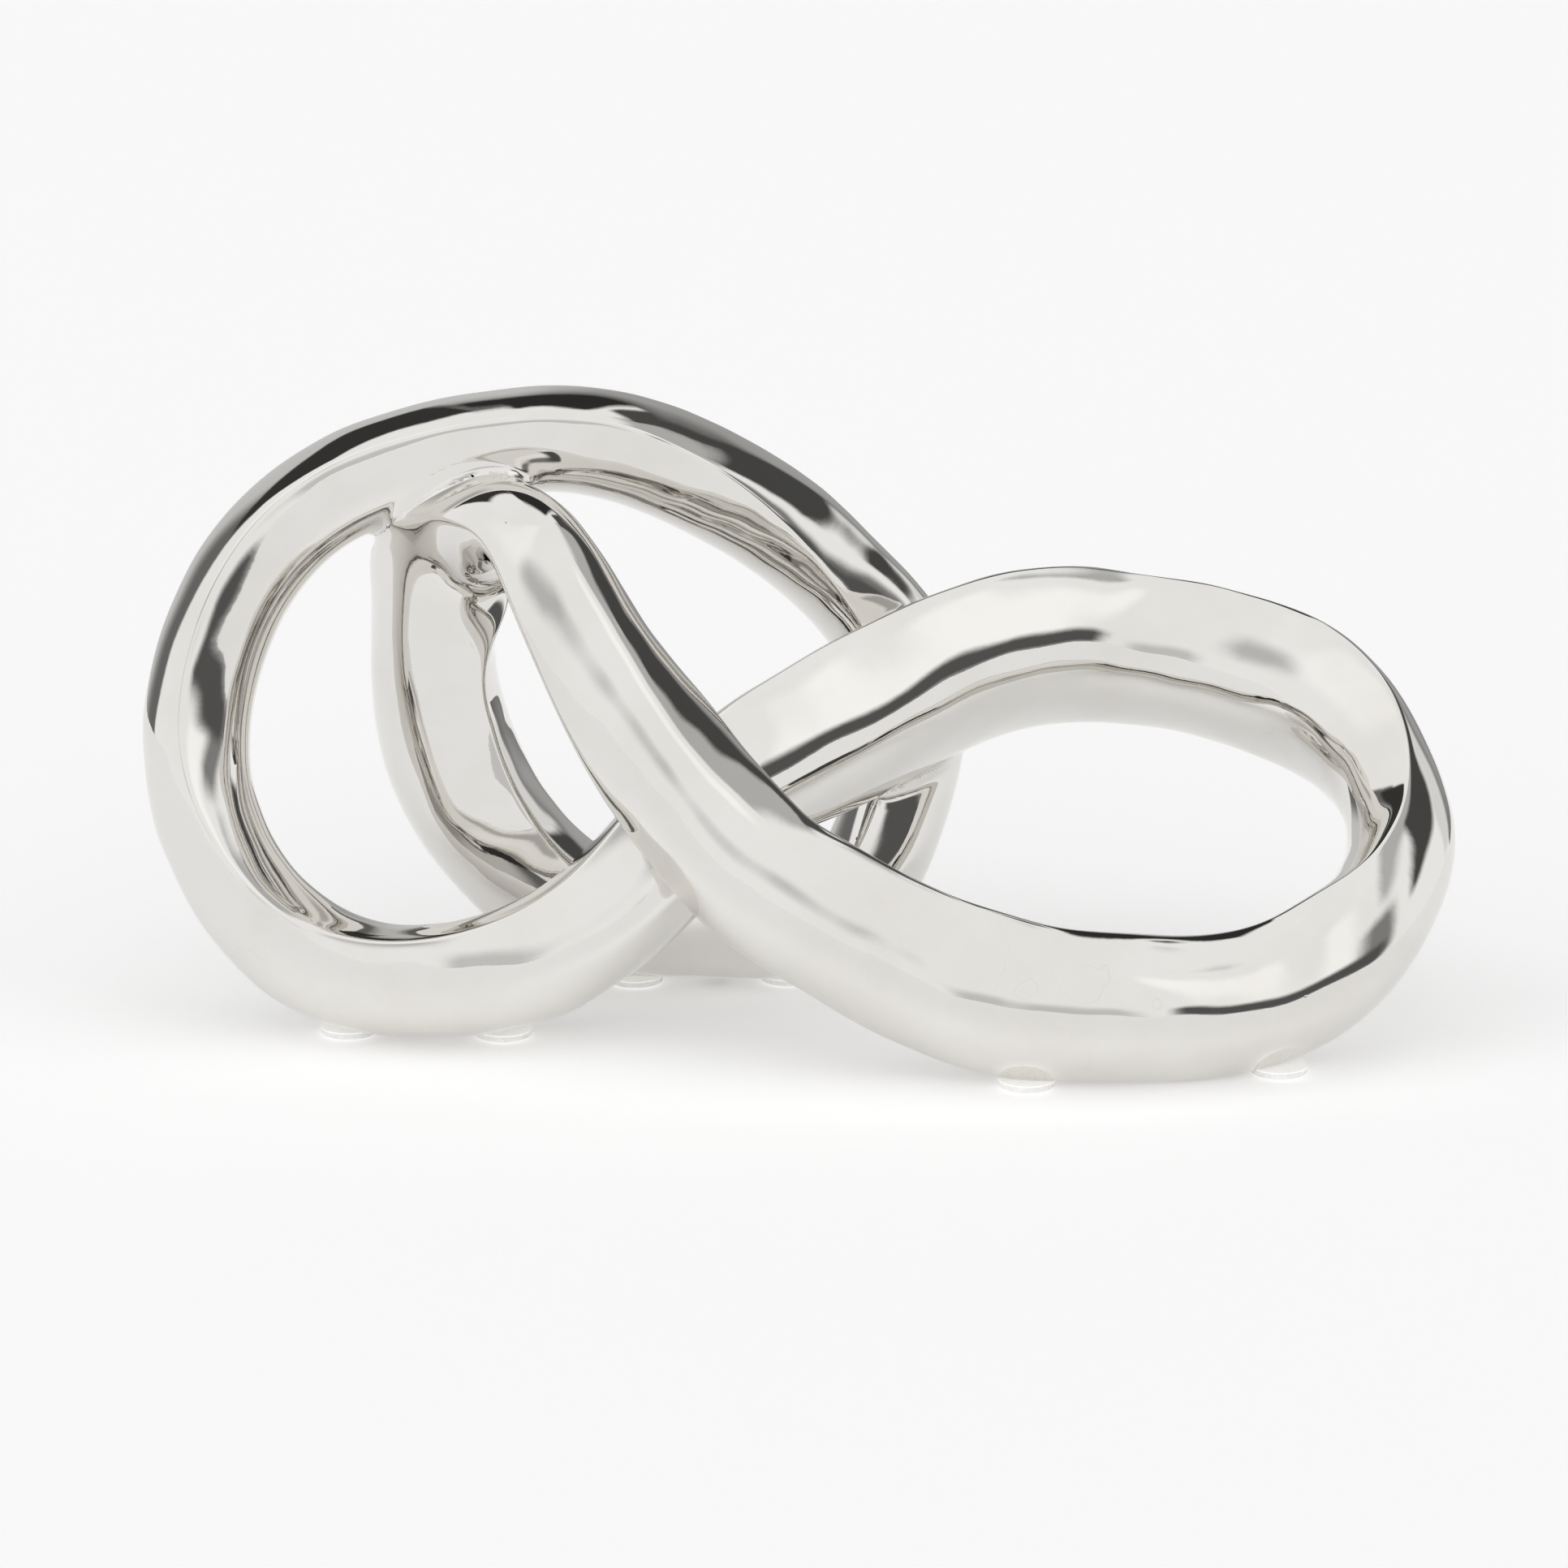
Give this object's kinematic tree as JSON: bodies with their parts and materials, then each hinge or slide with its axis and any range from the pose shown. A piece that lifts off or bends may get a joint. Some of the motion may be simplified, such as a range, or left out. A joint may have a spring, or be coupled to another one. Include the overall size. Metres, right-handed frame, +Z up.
{
  "type": "infinity loop sculpture",
  "caption": "Hollow ceramic tabletop sculpture of one endless strand looped through itself, with a mirror silver glaze and felt pads underneath.",
  "frame": {"origin": "on the table, under the middle of the sculpture's bounding box", "axes": "+X along the sculpture to the low right loop, +Y from front to back, +Z up"},
  "size_m": [0.2905, 0.1217, 0.1382],
  "materials": {
    "mirror_glaze": "mirror silver glaze with slight waves, pits and fine scratches",
    "glazed_slip": "the same mirror silver glaze over clay slip",
    "felt": "dense white felt",
    "adhesive": "clear to milky film"
  },
  "bodies": {
    "root": {"crown_arc_casting": "mirror_glaze", "left_loop_casting": "mirror_glaze", "right_loop_casting": "mirror_glaze", "cross_strand_casting": "mirror_glaze", "back_loop_casting": "mirror_glaze", "crown_to_left_lute": "glazed_slip", "left_to_right_lute": "glazed_slip", "right_to_cross_lute": "glazed_slip", "cross_to_back_lute": "glazed_slip", "back_to_crown_lute": "glazed_slip", "saddle_fillet": "glazed_slip", "front_crossing_fillet": "glazed_slip", "rear_crossing_fillet": "glazed_slip", "pad_left_outer": "felt", "pad_left_inner": "felt", "pad_front_inner": "felt", "pad_front_outer": "felt", "pad_back_left": "felt", "pad_back_right": "felt", "film_left_outer": "adhesive", "film_left_inner": "adhesive", "film_front_inner": "adhesive", "film_front_outer": "adhesive", "film_back_left": "adhesive", "film_back_right": "adhesive"}
  },
  "joints": []
}
